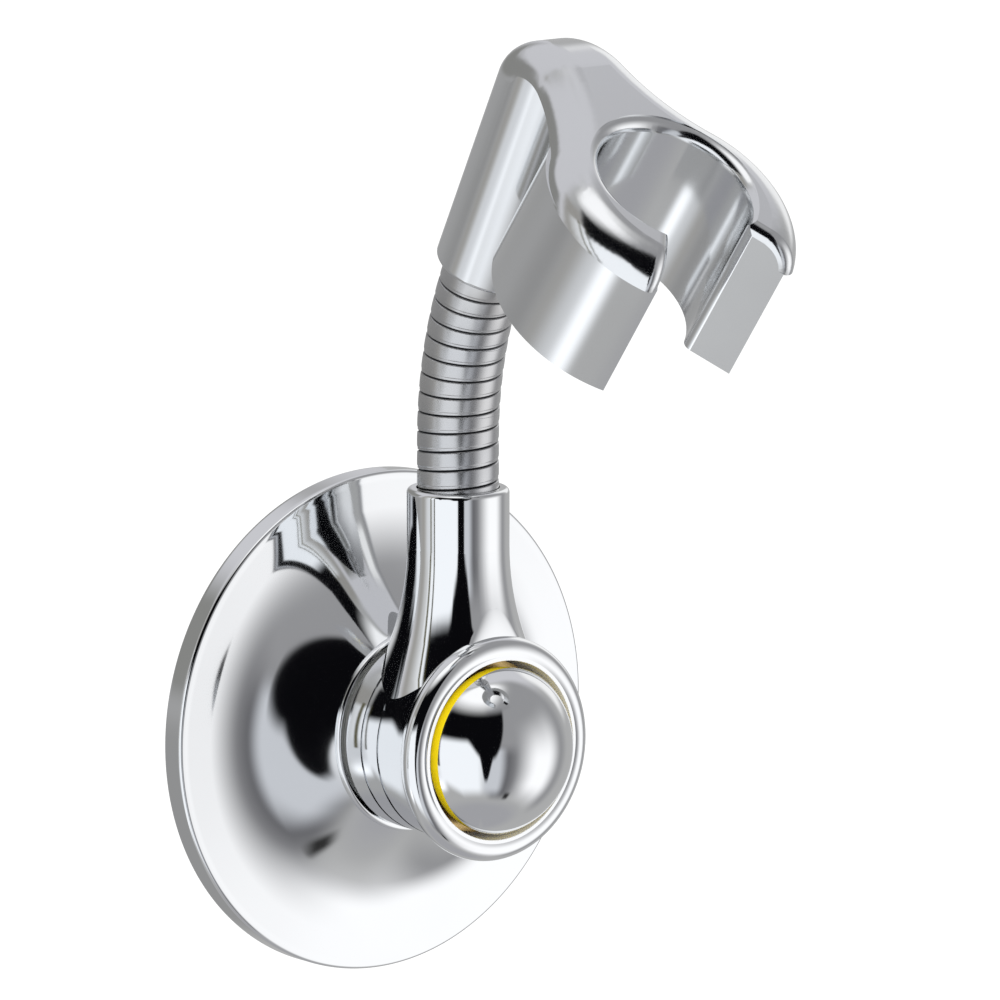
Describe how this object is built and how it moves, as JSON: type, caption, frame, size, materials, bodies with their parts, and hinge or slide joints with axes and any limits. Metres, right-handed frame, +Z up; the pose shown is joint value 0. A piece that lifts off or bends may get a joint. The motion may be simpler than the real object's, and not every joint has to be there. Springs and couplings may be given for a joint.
{
  "type": "hand shower holder",
  "caption": "Chrome wall holder for a hand shower: suction base with press-pump button, swivel elbow, bendable steel neck and open cradle.",
  "frame": {"origin": "centre of the suction base's sealing face, on the wall", "axes": "+Y into the wall, +Z up, +X to the right of someone facing the wall"},
  "size_m": [0.08, 0.0879, 0.1531],
  "materials": {
    "mirror_chrome": "polished chrome plating",
    "satin_chrome": "soft bright chrome plating",
    "steel_strip": "drawn strip, satin",
    "spring_steel": "drawn wire and strip",
    "brass": "turned",
    "soft_aluminium": "annealed, dull",
    "cup_rubber": "smooth moulded",
    "seal_rubber": "smooth moulded",
    "white_plastic": "moulded",
    "slip_plastic": "moulded, waxy",
    "yellow_plastic": "moulded, glossy"
  },
  "bodies": {
    "base": {"wall_flange": "mirror_chrome", "suction_cup": "cup_rubber", "pump_cylinder": "white_plastic", "inlet_valve": "seal_rubber", "return_spring": "spring_steel", "stop_ring": "spring_steel", "rear_washer": "slip_plastic", "front_washer": "slip_plastic", "disc_spring": "spring_steel", "retaining_nut": "brass"},
    "button": {"plunger": "white_plastic", "piston_seal": "seal_rubber", "warning_ring": "yellow_plastic", "button_dome": "mirror_chrome"},
    "swivel": {"swivel_elbow": "mirror_chrome", "lower_ferrule": "brass"},
    "neck_lower": {"bend_core": "soft_aluminium"},
    "neck_upper": {"flexible_hose": "steel_strip"},
    "cradle": {"cradle": "satin_chrome", "upper_ferrule": "brass"}
  },
  "joints": [
    {"name": "button_press", "type": "slide", "parent": "base", "child": "button", "axis": [0, 1, 0], "range_m": [0, 0.0032], "stiffness_N_per_m": 1500, "springref_m": -0.003, "deforming": ["return_spring"]},
    {"name": "elbow_swivel", "type": "hinge", "parent": "base", "child": "swivel", "pos_m": [0, -0.01469, 0], "axis": [0, 1, 0], "continuous": true},
    {"name": "neck_bend_lower", "type": "hinge", "parent": "swivel", "child": "neck_lower", "pos_m": [0, -0.02329, 0.04633], "axis": [1, 0, 0], "range_deg": [-14, 6], "deforming": ["flexible_hose", "bend_core"]},
    {"name": "neck_sway", "type": "hinge", "parent": "neck_lower", "child": "neck_upper", "pos_m": [0, -0.02429, 0.05853], "axis": [0, 0.9835, 0.1809], "range_deg": [-20, 20], "deforming": ["flexible_hose", "bend_core"]},
    {"name": "neck_bend_upper", "type": "hinge", "parent": "neck_upper", "child": "cradle", "pos_m": [0, -0.0277, 0.07029], "axis": [1, 0, 0], "range_deg": [-14, 6], "deforming": ["flexible_hose", "bend_core"]}
  ],
  "couplings": [
    {"joint": "neck_bend_upper", "follows": "neck_bend_lower", "ratio": 1}
  ]
}
